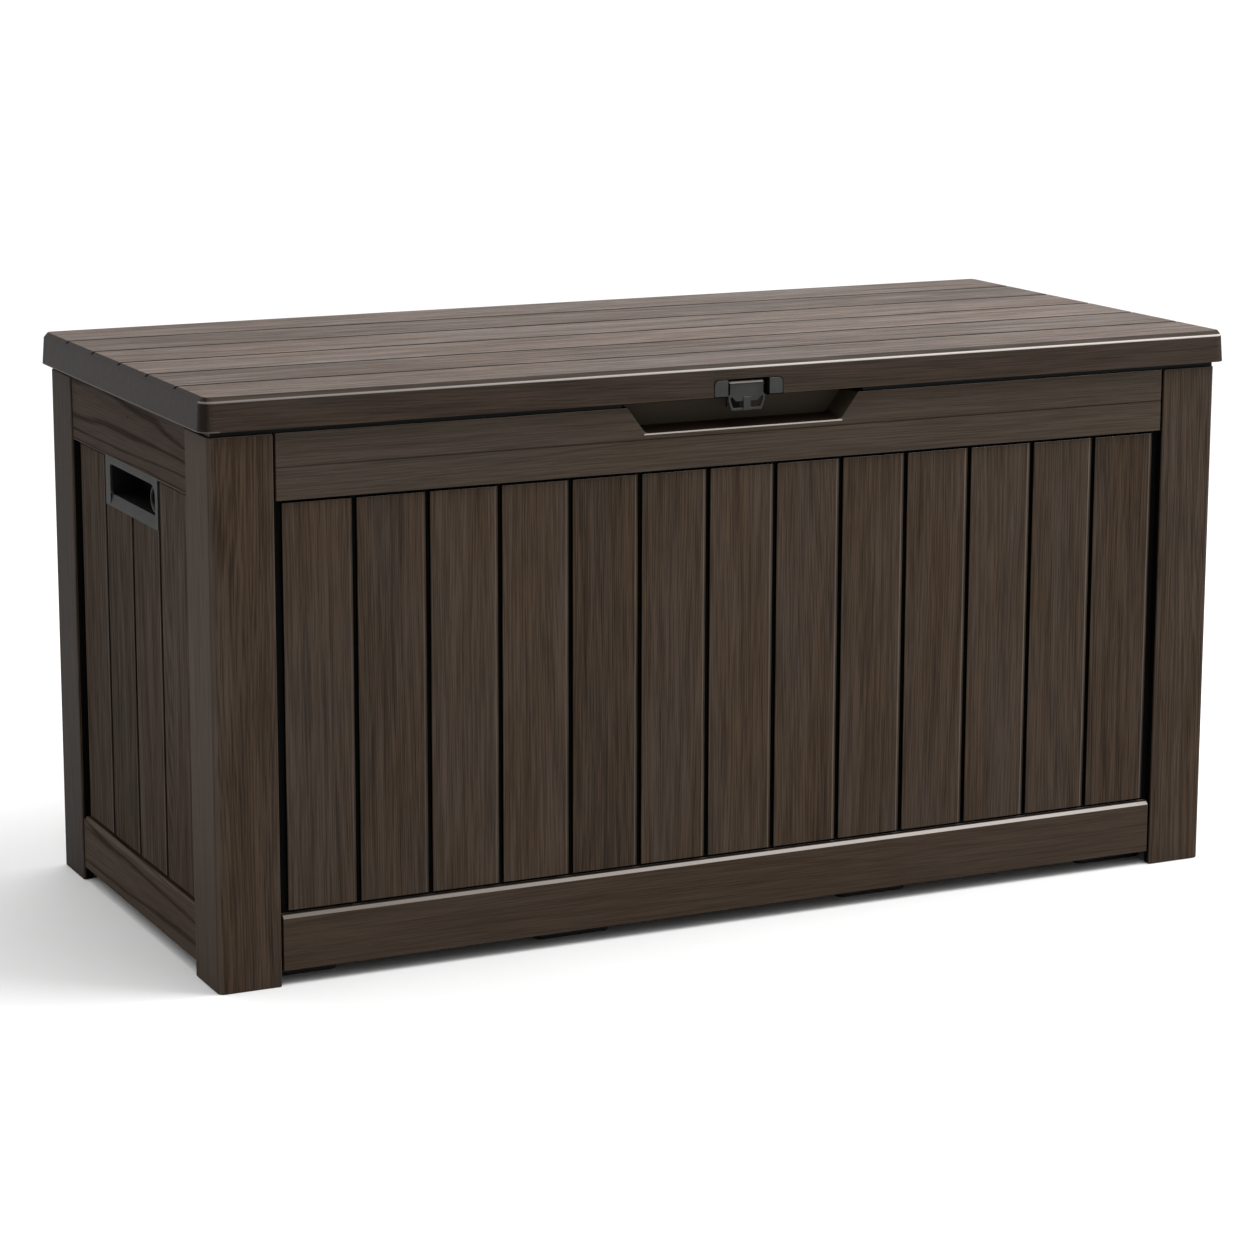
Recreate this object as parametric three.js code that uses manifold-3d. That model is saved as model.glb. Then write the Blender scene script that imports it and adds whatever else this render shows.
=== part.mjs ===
// Deck storage box: a resin case with plank panels, corner posts, and a hinged plank lid.
// Millimetres, +Z up, front faces -Y, origin on the ground under the middle of the box.
import * as THREE from "three";
import { mergeVertices } from "three/addons/utils/BufferGeometryUtils.js";
import Module from "manifold-3d";

const wasm = await Module();
wasm.setup();

// ---- driving dimensions ----
const GAP = 0.3; // left between neighbouring pieces
const CASE_X = 600; // half width over the corner posts
const CASE_Y = 268; // half depth over the corner posts
const CASE_TOP = 577; // rim of posts and rails
const SKIN = 3.5; // usual wall

const POST_FRONT = 68.3; // width of a post seen from the front
const POST_SIDE = 73; // width of a post seen from the side
const POST_WALL = 4;
const POST_RADIUS = 7;
const POST_SEAM = 3; // dark gap between a rail and a post

const RAIL_SET = 1.5; // rail face behind post face
const PLANK_SET = 6; // plank face behind post face
const SHEET_SET = 11.5; // sheet behind the planks, and bottom of the grooves
const SHEET = 4; // thickness of that sheet
const RAIL_DEPTH = 20;
const RAIL_LOW = [16, 75]; // heights of the bottom rail
const RAIL_CHAMFER = 3.5; // along its top front edge
const RAIL_HIGH = 508; // bottom of the top rail
const RAIL_LINE = { z: 542, width: 0.8, depth: 0.3 }; // scored line along the front and back top rails
const PLANKS_Z = [79, 504.5];
const GROOVE = 5.5;
const FRONT_FIELD = 524; // half width of the front planks
const FRONT_PLANKS = 13;
const SIDE_FIELD = 183; // half width of the side planks
const SIDE_PLANKS = 4;

const GRIP_DEPTH = 30;
const GRIP_LOW = 548; // front lip of the finger grip
const GRIP_BACK_LOW = 552.5; // floor of the grip at its back wall
const GRIP_TOP_HALF = 140;
const GRIP_LOW_HALF = 117;
const GRIP_CORNER = 5; // how far the rounding of a lower corner reaches along each side

const FLOOR_Z = [22, 26];
const FOOT = { x: 90, y: 60, top: 17.7, columns: [-500, -185, 185, 500], row: 205 };

const HANDLE = { half: 88.4, low: 452, high: 507.5, proud: 0.8, seat: 9.8, scoop: 2.5, lip: 1.2 };
const HANDLE_HOLE = { front: -80, back: 72.5, low: 465.5, high: 498.5, radius: 4, corner: 12, depth: 36 };
// A curved rib at the opening's front end.
const HANDLE_RIB = { y: -77.5, z: 483.8, radius: 13.8, wall: 1.8, set: 0.6 };
const CUP_WALL = 2.5;
const GATE_MARK = { y: -4, z: 561, radius: 1.6, proud: 0.5 }; // moulding stub on each side's top rail

const LID_X = 610; // half width at the lower edge of the skirt
const LID_Y = 276;
const LID_LOW = 583;
const LID_TOP = 618;
const LID_RADIUS = 14;
const LID_DRAFT = 2; // how far the skirt leans in up to the bevel
const LID_BEVEL = 5;
const LID_TOP_RADIUS = 6; // corners of the flat top
const LID_SKIN = 5;
const LID_GROOVES = [-184, -92, 0, 92, 184];
const LID_GROOVE = { width: 5, depth: 3 };
const LEDGE = { x: 597, y: 265, wall: 3.5, arch: 590 }; // inner wall that rests on the case rim

const HINGE_X = [-420, 0, 420];
const HINGE = { y: 271.3, z: 577.5, radius: 4.5, half: 45, knuckle: 15, pin: 1.8 };
const LEAF = 3;
const BODY_LEAF = { low: 534, high: 572, neck: 569, screwZ: 552 };
const LID_LEAF = { high: 606, screwZ: 595 };
const SCREW = { pitch: 28, shank: 2, head: 4, headHeight: 1.6, length: 12, slot: 1 };

const HASP = { y: -266.5, z: 594, radius: 4.5, half: 20, low: 566.8, front: -271, back: -268.2 };
const HASP_PIN = 2;
const HASP_RIM = { top: 583, side: 22, bend: 577, foot: 18, wall: 2.6 };
const HASP_PLATE = { low: 576.5, corner: 581, flat: 12.5 };
const STEM = { half: 4.2, front: -272.2, top: 581 };
const LATCH_SEAM = 0.9; // shadow gap between the latch plate and the lid
const LATCH = { half: 40.5, low: 583.3, high: 600.3, pocket: 24.8, pocketTop: 601.3, back: -259, radius: 5 };
const KEEPER = { half: 2.4, front: -267.2, low: 565.5, high: 576.5, holeY: -261.6, holeZ: 571, hole: 3.2 };
const KEEPER_BASE = { half: 7, thick: 2.5 };

// ---- solid helpers ----
function solid(geometry) {
  const bare = new THREE.BufferGeometry();
  bare.setAttribute("position", geometry.getAttribute("position"));
  if (geometry.index) bare.setIndex(geometry.index);
  const merged = mergeVertices(bare, 1e-4);
  return new wasm.Manifold(new wasm.Mesh({
    numProp: 3,
    vertProperties: Float32Array.from(merged.attributes.position.array),
    triVerts: Uint32Array.from(merged.index.array),
  }));
}

// A box between two corners, given as ranges along x, y and z.
function slab(x, y, z) {
  const geometry = new THREE.BoxGeometry(x[1] - x[0], y[1] - y[0], z[1] - z[0]);
  geometry.translate((x[0] + x[1]) / 2, (y[0] + y[1]) / 2, (z[0] + z[1]) / 2);
  return solid(geometry);
}

function outline(points) {
  return new THREE.Shape(points.map(([u, v]) => new THREE.Vector2(u, v)));
}

// An outline in x and y, swept up from z[0] to z[1].
function upright(points, z) {
  const geometry = new THREE.ExtrudeGeometry(outline(points), { depth: z[1] - z[0], bevelEnabled: false });
  geometry.translate(0, 0, z[0]);
  return solid(geometry);
}

// An outline in y and z, swept across from x[0] to x[1].
function crosswise(points, x) {
  const geometry = new THREE.ExtrudeGeometry(outline(points), { depth: x[1] - x[0], bevelEnabled: false });
  const turn = new THREE.Matrix4().makeBasis(
    new THREE.Vector3(0, 1, 0),
    new THREE.Vector3(0, 0, 1),
    new THREE.Vector3(1, 0, 0),
  );
  geometry.applyMatrix4(turn);
  geometry.translate(x[0], 0, 0);
  return solid(geometry);
}

// An outline in x and z, swept back from y[0] to y[1].
function facing(points, y) {
  const geometry = new THREE.ExtrudeGeometry(outline(points), { depth: y[1] - y[0], bevelEnabled: false });
  geometry.rotateX(Math.PI / 2);
  geometry.translate(0, y[1], 0);
  return solid(geometry);
}

function rodX(radius, x, y, z, sides = 24) {
  const geometry = new THREE.CylinderGeometry(radius, radius, x[1] - x[0], sides);
  geometry.rotateZ(Math.PI / 2);
  geometry.translate((x[0] + x[1]) / 2, y, z);
  return solid(geometry);
}

function rodY(radius, x, y, z, sides = 20) {
  const geometry = new THREE.CylinderGeometry(radius, radius, y[1] - y[0], sides);
  geometry.translate(x, (y[0] + y[1]) / 2, z);
  return solid(geometry);
}

// A closed skin through rings of equal length, all convex and listed counter-clockwise from the last ring.
function loft(rings) {
  const count = rings[0].length;
  const points = rings.flat();
  const faces = [];
  for (let level = 0; level + 1 < rings.length; level += 1) {
    for (let i = 0; i < count; i += 1) {
      const next = (i + 1) % count;
      const low = level * count;
      const high = low + count;
      faces.push(low + i, low + next, high + next, low + i, high + next, high + i);
    }
  }
  const last = (rings.length - 1) * count;
  for (let i = 1; i + 1 < count; i += 1) {
    faces.push(0, i + 1, i, last, last + i, last + i + 1);
  }
  const geometry = new THREE.BufferGeometry();
  geometry.setAttribute("position", new THREE.BufferAttribute(new Float32Array(points.flat()), 3));
  geometry.setIndex(faces);
  return solid(geometry);
}

function corners(halfX, halfY, radius, steps = 5) {
  const points = [];
  for (const [sx, sy, start] of [[1, -1, -90], [1, 1, 0], [-1, 1, 90], [-1, -1, 180]]) {
    for (let i = 0; i <= steps; i += 1) {
      const angle = THREE.MathUtils.degToRad(start + (90 * i) / steps);
      points.push([
        sx * (halfX - radius) + radius * Math.cos(angle),
        sy * (halfY - radius) + radius * Math.sin(angle),
      ]);
    }
  }
  return points;
}

function ring(halfX, halfY, radius, z) {
  return corners(halfX, halfY, radius).map(([x, y]) => [x, y, z]);
}

function join(solids) {
  return solids.reduce((sum, next) => sum.add(next));
}

function cut(body, tools) {
  return tools.reduce((rest, tool) => rest.subtract(tool), body);
}

// ---- meshes ----
const box = new THREE.Group();
box.name = "deck_storage_box";

const FINISH = {
  plank_resin: { color: "#54473c", roughness: 0.55, metalness: 0 },
  lid_resin: { color: "#5a4d43", roughness: 0.5, metalness: 0 },
  grey_plastic: { color: "#4b4b49", roughness: 0.5, metalness: 0 },
  base_resin: { color: "#26221f", roughness: 0.7, metalness: 0 },
  hinge_plastic: { color: "#2e2a27", roughness: 0.5, metalness: 0 },
  steel: { color: "#8d9094", roughness: 0.35, metalness: 1 },
};

function place(name, finish, manifold) {
  const { vertProperties, numProp, triVerts } = manifold.getMesh();
  const positions = new Float32Array((vertProperties.length / numProp) * 3);
  for (let i = 0; i < positions.length / 3; i += 1) {
    positions.set(vertProperties.subarray(i * numProp, i * numProp + 3), i * 3);
  }
  const geometry = new THREE.BufferGeometry();
  geometry.setAttribute("position", new THREE.BufferAttribute(positions, 3));
  geometry.setIndex(new THREE.BufferAttribute(Uint32Array.from(triVerts), 1));
  const material = new THREE.MeshStandardMaterial(FINISH[finish]);
  material.name = finish;
  const mesh = new THREE.Mesh(geometry, material);
  mesh.name = name;
  box.add(mesh);
}

// ---- case panels ----
// Built facing -Y and centred on x = 0, with the post face plane at y = 0, then turned into place.
function railPockets(half, z, count, clear = 0) {
  const pockets = [];
  const usable = [RAIL_SET + SKIN, RAIL_SET + RAIL_DEPTH + 1];
  const runs = clear ? [[-half, -clear], [clear, half]] : [[-half, half]];
  for (const [from, to] of runs) {
    const width = (to - from) / count;
    for (let i = 0; i < count; i += 1) {
      const x = [from + i * width + SKIN / 2, from + (i + 1) * width - SKIN / 2];
      pockets.push(slab(x, usable, [z[0] + SKIN, z[1] - SKIN]));
    }
  }
  return pockets;
}

function plainPanel({ half, field, planks, tongue, lowPockets, highPockets, clear, scored }) {
  const pitch = (2 * field) / planks;
  const parts = [
    slab([-tongue, tongue], [SHEET_SET, SHEET_SET + SHEET], [RAIL_LOW[0], CASE_TOP]),
    slab([-half, half], [RAIL_SET, RAIL_SET + RAIL_DEPTH], RAIL_LOW),
    slab([-half, half], [RAIL_SET, RAIL_SET + RAIL_DEPTH], [RAIL_HIGH, CASE_TOP]),
  ];
  const chamfer = [
    [RAIL_SET - 1, RAIL_LOW[1] + 1],
    [RAIL_SET - 1, RAIL_LOW[1] - RAIL_CHAMFER - 1],
    [RAIL_SET + RAIL_CHAMFER + 1, RAIL_LOW[1] + 1],
  ];
  const hollows = [
    crosswise(chamfer, [-half - 1, half + 1]),
    ...railPockets(half, RAIL_LOW, lowPockets),
    ...railPockets(half, [RAIL_HIGH, CASE_TOP], highPockets, clear),
  ];
  if (scored) {
    const line = [RAIL_LINE.z - RAIL_LINE.width / 2, RAIL_LINE.z + RAIL_LINE.width / 2];
    hollows.push(slab([-half - 1, half + 1], [0, RAIL_SET + RAIL_LINE.depth], line));
  }
  for (let i = 0; i < planks; i += 1) {
    const x = [-field + i * pitch + GROOVE / 2, -field + (i + 1) * pitch - GROOVE / 2];
    parts.push(slab(x, [PLANK_SET, SHEET_SET + 1], PLANKS_Z));
    hollows.push(slab(
      [x[0] + SKIN, x[1] - SKIN],
      [PLANK_SET + SKIN, SHEET_SET + SHEET + 1],
      [PLANKS_Z[0] + SKIN, PLANKS_Z[1] - SKIN],
    ));
  }
  return cut(join(parts), hollows);
}

const LONG_PANEL = {
  half: CASE_X - POST_FRONT - POST_SEAM,
  field: FRONT_FIELD,
  planks: FRONT_PLANKS,
  tongue: CASE_X - SHEET_SET - SHEET - GAP,
  lowPockets: 7,
  scored: true,
};

const SHORT_PANEL = {
  half: CASE_Y - POST_SIDE - POST_SEAM,
  field: SIDE_FIELD,
  planks: SIDE_PLANKS,
  tongue: CASE_Y - SHEET_SET,
  lowPockets: 3,
  highPockets: 3,
};

function gripShape(grow) {
  const depth = GRIP_DEPTH + RAIL_SET + grow;
  const rise = CASE_TOP + 2 - 3 * Math.sign(grow);
  const face = (y, low, lowHalf, topHalf) => {
    const run = new THREE.Vector2(topHalf - lowHalf, rise - low).normalize().multiplyScalar(GRIP_CORNER);
    const right = [0, 0.25, 0.5, 0.75, 1].map((s) => [
      lowHalf - GRIP_CORNER * (1 - s) ** 2 + run.x * s ** 2,
      y,
      low + run.y * s ** 2,
    ]);
    const left = right.map(([x, v, z]) => [-x, v, z]).reverse();
    return [...left, ...right, [topHalf, y, rise], [-topHalf, y, rise]];
  };
  return loft([
    face(depth, GRIP_BACK_LOW - grow, GRIP_LOW_HALF - 3 + grow, GRIP_TOP_HALF - 6 + grow),
    face(grow ? RAIL_SET : 0, GRIP_LOW - grow, GRIP_LOW_HALF + grow, GRIP_TOP_HALF + grow),
  ]);
}

function buildFront() {
  const panel = plainPanel({ ...LONG_PANEL, highPockets: 3, clear: GRIP_TOP_HALF + 2 * SKIN });
  return panel.add(gripShape(SKIN)).subtract(gripShape(0)).translate([0, -CASE_Y, 0]);
}

const SCREW_ROW = [0, 1, 2, 3, 4, 5]; // two screws in each leaf

function screwX(index) {
  return HINGE_X[Math.floor(index / 2)] + (index % 2 ? 1 : -1) * SCREW.pitch;
}

function buildBack() {
  const panel = plainPanel({ ...LONG_PANEL, highPockets: 7 }).rotate([0, 0, 180]).translate([0, CASE_Y, 0]);
  const bored = [CASE_Y - RAIL_SET - RAIL_DEPTH + 1, CASE_Y];
  const holes = SCREW_ROW.map((i) => rodY(SCREW.shank + GAP, screwX(i), bored, BODY_LEAF.screwZ));
  return cut(panel, holes);
}

// side is 1 for the right and -1 for the left; the handle and the gate mark keep their places along y.
function buildSide(side) {
  const { front, back, low, high } = HANDLE_HOLE;
  const around = CUP_WALL + GAP;
  const across = [side * (front - around), side * (back + around)].sort((a, b) => a - b);
  const cupCut = slab(across, [0, RAIL_DEPTH + 2], [low - around, high + around]);
  const bezelCut = slab(
    [-HANDLE.half - 1, HANDLE.half + 1], // ends in the grooves on either side
    [0, HANDLE.seat],
    [HANDLE.low - GAP, RAIL_HIGH],
  );
  const stub = [RAIL_SET - GATE_MARK.proud, RAIL_SET + 1];
  const mark = rodY(GATE_MARK.radius, side * GATE_MARK.y, stub, GATE_MARK.z);
  return plainPanel(SHORT_PANEL)
    .add(mark)
    .subtract(cupCut)
    .subtract(bezelCut)
    .rotate([0, 0, side * 90])
    .translate([side * CASE_X, 0, 0]);
}

// ---- corner posts ----
// An L of two walls with short returns, closed by a cap at the top and a foot at the bottom.
function postOutline(inner) {
  const round = [];
  for (let i = 0; i <= 4; i += 1) {
    const angle = Math.PI + (Math.PI / 2) * (i / 4);
    round.push([POST_RADIUS + POST_RADIUS * Math.cos(angle), POST_RADIUS + POST_RADIUS * Math.sin(angle)]);
  }
  return [...round, [POST_FRONT, 0], ...inner, [0, POST_SIDE]];
}

function buildPost(sx, sy) {
  const reach = SHEET_SET - 2 * GAP;
  const wall = upright(postOutline([
    [POST_FRONT, reach],
    [POST_FRONT - POST_WALL, reach],
    [POST_FRONT - POST_WALL, POST_WALL],
    [POST_WALL, POST_WALL],
    [POST_WALL, POST_SIDE - POST_WALL],
    [reach, POST_SIDE - POST_WALL],
    [reach, POST_SIDE],
  ]), [0, CASE_TOP]);
  const plate = [[POST_FRONT, reach], [reach, reach], [reach, POST_SIDE]];
  const cap = upright(postOutline(plate), [CASE_TOP - POST_WALL, CASE_TOP]);
  const foot = upright(postOutline(plate), [0, POST_WALL]);
  const post = wall.add(cap).add(foot);
  const corner = post.translate([-CASE_X, -CASE_Y, 0]);
  return corner.scale([-sx, -sy, 1]);
}

// ---- floor and feet ----
function buildFloor() {
  const halfX = CASE_X - SHEET_SET - SHEET - 8;
  const halfY = CASE_Y - RAIL_SET - RAIL_DEPTH - 1;
  const low = FOOT.top + GAP;
  const parts = [slab([-halfX, halfX], [-halfY, halfY], FLOOR_Z)];
  for (let i = -4; i <= 4; i += 1) {
    const x = i * ((halfX - SKIN / 2) / 4);
    parts.push(slab([x - SKIN / 2, x + SKIN / 2], [-halfY, halfY], [low, FLOOR_Z[1]]));
  }
  for (let i = -2; i <= 2; i += 1) {
    const y = i * ((halfY - SKIN / 2) / 2);
    parts.push(slab([-halfX, halfX], [y - SKIN / 2, y + SKIN / 2], [low, FLOOR_Z[1]]));
  }
  return join(parts);
}

function buildFoot(x, y) {
  const plan = (grow) => corners(FOOT.x / 2 + grow, FOOT.y / 2 + grow, 8, 4);
  const rim = (grow, z) => plan(grow).map(([u, v]) => [x + u, y + v, z]);
  const block = loft([rim(-2, 0), rim(0, FOOT.top)]);
  const hollow = loft([rim(-2 - SKIN, -1), rim(-2 - SKIN, FOOT.top - SKIN)]);
  return block.subtract(hollow).add(slab([x - 2, x + 2], [y - 26, y + 26], [0, FOOT.top - 1]));
}

// ---- handle cups ----
// The opening's outline in y and z, with one larger corner at the top front.
function windowOutline(grow) {
  const { front, back, low, high, radius, corner } = HANDLE_HOLE;
  const points = [];
  for (const [sy, sz, start] of [[1, -1, -90], [1, 1, 0], [-1, 1, 90], [-1, -1, 180]]) {
    const bend = (sy < 0 && sz > 0 ? corner : radius) + grow;
    const y = sy > 0 ? back + grow - bend : front - grow + bend;
    const z = sz > 0 ? high + grow - bend : low - grow + bend;
    for (let i = 0; i <= 5; i += 1) {
      const angle = THREE.MathUtils.degToRad(start + (90 * i) / 5);
      points.push([y + bend * Math.cos(angle), z + bend * Math.sin(angle)]);
    }
  }
  return points;
}

function buildHandle(side) {
  const face = CASE_X - PLANK_SET + HANDLE.proud;
  const seat = CASE_X - HANDLE.seat + GAP;
  const { front, back, low, depth } = HANDLE_HOLE;
  const bezel = slab([seat, face], [-HANDLE.half, HANDLE.half], [HANDLE.low, HANDLE.high]);
  const cup = crosswise(windowOutline(CUP_WALL), [face - depth - CUP_WALL, seat + 1]);
  const hollow = crosswise(windowOutline(0), [face - depth, face + 1]);
  const scoop = facing([
    [face, HANDLE.low + HANDLE.lip],
    [face + 1, HANDLE.low + HANDLE.lip],
    [face + 1, low + 1],
    [face - HANDLE.scoop, low + 1],
  ], [front, back]);
  const run = [face - depth - 1, face - HANDLE_RIB.set];
  const bore = [run[0] - 1, run[1] + 1];
  const rib = rodX(HANDLE_RIB.radius, run, HANDLE_RIB.y, HANDLE_RIB.z, 40)
    .subtract(rodX(HANDLE_RIB.radius - HANDLE_RIB.wall, bore, HANDLE_RIB.y, HANDLE_RIB.z, 40))
    .intersect(slab(run, [front - 1, HANDLE_RIB.y + 2 * HANDLE_RIB.radius], [HANDLE.low, HANDLE.high]));
  const handle = cut(bezel.add(cup), [hollow, scoop]).add(rib);
  return side > 0 ? handle : handle.scale([-1, 1, 1]);
}

// ---- lid ----
function buildLid() {
  const shoulder = LID_TOP - LID_BEVEL;
  const outer = loft([
    ring(LID_X, LID_Y, LID_RADIUS, LID_LOW),
    ring(LID_X - LID_DRAFT, LID_Y - LID_DRAFT, LID_RADIUS - 1, shoulder),
    ring(LID_X - LID_DRAFT - LID_BEVEL, LID_Y - LID_DRAFT - LID_BEVEL, LID_TOP_RADIUS, LID_TOP),
  ]);
  const inner = loft([
    ring(LID_X - SKIN, LID_Y - SKIN, LID_RADIUS - SKIN, LID_LOW - 1),
    ring(LID_X - SKIN - LID_DRAFT, LID_Y - SKIN - LID_DRAFT, LID_RADIUS - SKIN - 1, LID_TOP - LID_SKIN - 4),
    ring(LID_X - SKIN - LID_DRAFT - 4, LID_Y - SKIN - LID_DRAFT - 4, LID_RADIUS - SKIN - 4, LID_TOP - LID_SKIN),
  ]);
  const under = LID_TOP - LID_SKIN + 1;
  const ledgeLow = CASE_TOP + GAP;
  const ledge = slab([-LEDGE.x, LEDGE.x], [-LEDGE.y, LEDGE.y], [ledgeLow, under]).subtract(slab(
    [-LEDGE.x + LEDGE.wall, LEDGE.x - LEDGE.wall],
    [-LEDGE.y + LEDGE.wall, LEDGE.y - LEDGE.wall],
    [ledgeLow - 1, under + 1],
  ));
  const arches = [
    slab([-GRIP_TOP_HALF - 4, GRIP_TOP_HALF + 4], [-LEDGE.y - 1, -LEDGE.y + 8], [ledgeLow - 1, LEDGE.arch]),
    slab([-LATCH.half - 5, LATCH.half + 5], [-LEDGE.y - 1, -LEDGE.y + 8], [ledgeLow - 1, LATCH.high + 6]),
  ];
  const pads = HINGE_X.map((x) => slab(
    [x - HINGE.half - 3, x + HINGE.half + 3],
    [LEDGE.y - 1, LID_Y - LEAF - 2 * GAP],
    [LID_LOW, LID_LEAF.high + 3],
  ));
  const ribs = [cut(ledge, arches), ...pads];
  for (const x of [-390, -195, 0, 195, 390]) {
    ribs.push(slab([x - 1.5, x + 1.5], [-LEDGE.y + 9, LEDGE.y - 1], [LID_TOP - 22, under]));
  }
  for (const y of [-138, -46, 46, 138]) {
    ribs.push(slab([-LEDGE.x + 1, LEDGE.x - 1], [y - 1.5, y + 1.5], [LID_TOP - 18, under]));
  }
  const grooves = LID_GROOVES.map((y) => slab(
    [-LID_X - 1, LID_X + 1],
    [y - LID_GROOVE.width / 2, y + LID_GROOVE.width / 2],
    [LID_TOP - LID_GROOVE.depth, LID_TOP + 1],
  ));
  const latchNotches = [
    facing(wingOutline(LATCH_SEAM, LID_LOW - 1), [-LID_Y - 2, -LID_Y + 8]),
    slab([-LATCH.pocket, LATCH.pocket], [-LID_Y - 2, -LID_Y + 8], [LID_LOW - 1, LATCH.pocketTop]),
  ];
  const leafSeats = HINGE_X.map((x) => slab(
    [x - HINGE.half - GAP, x + HINGE.half + GAP],
    [LID_Y - LEAF - 2 * GAP, LID_Y + 1],
    [LID_LOW - 1, LID_LEAF.high + GAP],
  ));
  const bored = [LEDGE.y - LEDGE.wall - 1, LID_Y];
  const holes = SCREW_ROW.map((i) => rodY(SCREW.shank + GAP, screwX(i), bored, LID_LEAF.screwZ));
  return cut(join([outer.subtract(inner), ...ribs]), [...grooves, ...latchNotches, ...leafSeats, ...holes]);
}

// ---- latch ----
// The plate's outline seen from the front: square at the bottom, rounded at the top.
function wingOutline(grow, low) {
  const half = LATCH.half + grow;
  const high = LATCH.high + grow;
  const turn = [0, 1, 2, 3, 4].map((i) => (Math.PI / 2) * (i / 4));
  const { radius } = LATCH;
  const right = turn.map((a) => [half - radius + radius * Math.cos(a), high - radius + radius * Math.sin(a)]);
  const left = turn.map((a) => [-half + radius - radius * Math.sin(a), high - radius + radius * Math.cos(a)]);
  return [[-half, low], [half, low], ...right, ...left];
}

function buildLatchPlate() {
  const seat = -LID_Y + SKIN + LID_DRAFT + GAP;
  const flange = slab([-LATCH.half - 4, LATCH.half + 4], [seat, LATCH.back], [LATCH.low, LATCH.high + 5]);
  const wings = facing(wingOutline(0, LATCH.low), [-LID_Y, seat + 1]);
  const pocketDepth = [-LID_Y - 2, HASP.y + HASP.radius + 0.8];
  const pocket = slab([-LATCH.pocket, LATCH.pocket], pocketDepth, [LID_LOW - 2, LATCH.pocketTop]);
  const bore = rodX(HASP_PIN + GAP, [-LATCH.half + 6, LATCH.half - 6], HASP.y, HASP.z);
  return cut(flange.add(wings), [pocket, bore]);
}

// A plate hung from a barrel, with a stem down its middle and a rim that leaves a window on each side.
function buildHasp() {
  const { half, low, front, back, radius } = HASP;
  const { top, side, bend, foot, wall } = HASP_RIM;
  const mirrored = (points) => points.map(([x, z]) => [-x, z]).reverse();
  const rightEdge = [[foot, low], [side - 0.4, bend], [side, top], [half, top + 1], [half, HASP.z]];
  const body = facing([...rightEdge, ...mirrored(rightEdge)], [front, back]);
  const rightWindow = [
    [STEM.half, low + wall],
    [foot - 2, low + wall],
    [side - 0.4 - wall, bend],
    [side - wall, HASP_PLATE.corner],
    [HASP_PLATE.flat + 4.5, HASP_PLATE.corner],
    [HASP_PLATE.flat, HASP_PLATE.low],
    [STEM.half, HASP_PLATE.low],
  ];
  const windows = [rightWindow, mirrored(rightWindow)].map((points) => facing(points, [front - 1, back + 1]));
  const stem = slab([-STEM.half, STEM.half], [STEM.front, back], [low, STEM.top]);
  const barrel = rodX(radius, [-half, half], HASP.y, HASP.z, 32);
  const bore = rodX(HASP_PIN + GAP, [-half - 1, half + 1], HASP.y, HASP.z);
  return cut(join([body.subtract(join(windows)), barrel, stem]), [bore]);
}

function buildKeeper() {
  const wall = -CASE_Y + RAIL_SET + GRIP_DEPTH - GAP;
  const { half, thick } = KEEPER_BASE;
  const base = slab([-half, half], [wall - thick, wall], [KEEPER.low, KEEPER.high]);
  const fin = slab([-KEEPER.half, KEEPER.half], [KEEPER.front, wall - 1], [KEEPER.low, KEEPER.high]);
  const eye = rodX(KEEPER.hole, [-4, 4], KEEPER.holeY, KEEPER.holeZ);
  return base.add(fin).subtract(eye);
}

// ---- hinges ----
function buildBodyLeaf(x) {
  const face = CASE_Y - RAIL_SET + GAP;
  const { y, z, radius, half, knuckle, pin } = HINGE;
  const parts = [slab([x - half, x + half], [face, face + LEAF - GAP], [BODY_LEAF.low, BODY_LEAF.high])];
  for (const side of [-1, 1]) {
    const span = [x + side * (knuckle + GAP), x + side * half].sort((a, b) => a - b);
    parts.push(slab(span, [face, y], [BODY_LEAF.neck, z - 1]));
    parts.push(rodX(radius, span, y, z));
  }
  const tools = [rodX(pin + GAP, [x - half - 1, x + half + 1], y, z)];
  for (const side of [-1, 1]) {
    tools.push(rodY(SCREW.shank + GAP, x + side * SCREW.pitch, [face - 1, face + LEAF + 1], BODY_LEAF.screwZ));
  }
  return cut(join(parts), tools);
}

// Let into the back of the skirt, with its screw heads sunk flush.
function buildLidLeaf(x) {
  const face = LID_Y - LEAF - GAP;
  const { y, z, radius, half, knuckle, pin } = HINGE;
  const plate = slab([x - half, x + half], [face, face + LEAF], [LID_LOW, LID_LEAF.high]);
  const neck = slab([x - knuckle, x + knuckle], [face, y + radius], [z, LID_LOW + 1]);
  const barrel = rodX(radius, [x - knuckle, x + knuckle], y, z);
  const tools = [rodX(pin + GAP, [x - knuckle - 1, x + knuckle + 1], y, z)];
  const sunk = [face + LEAF - SCREW.headHeight, LID_Y + 1];
  for (const side of [-1, 1]) {
    tools.push(rodY(SCREW.shank + GAP, x + side * SCREW.pitch, [face - 1, LID_Y + 1], LID_LEAF.screwZ));
    tools.push(rodY(SCREW.head + GAP, x + side * SCREW.pitch, sunk, LID_LEAF.screwZ));
  }
  return cut(join([plate, neck, barrel]), tools);
}

// seat is the plane that the head rests on.
function buildScrew(x, seat, z) {
  const shank = rodY(SCREW.shank, x, [seat - SCREW.length, seat + 1], z, 16);
  const head = rodY(SCREW.head, x, [seat + GAP, seat + SCREW.headHeight], z, 24);
  const slot = slab(
    [x - SCREW.head + 1.2, x + SCREW.head - 1.2],
    [seat + SCREW.headHeight - 0.8, seat + SCREW.headHeight + 1],
    [z - SCREW.slot / 2, z + SCREW.slot / 2],
  );
  return shank.add(head).subtract(slot);
}

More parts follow.
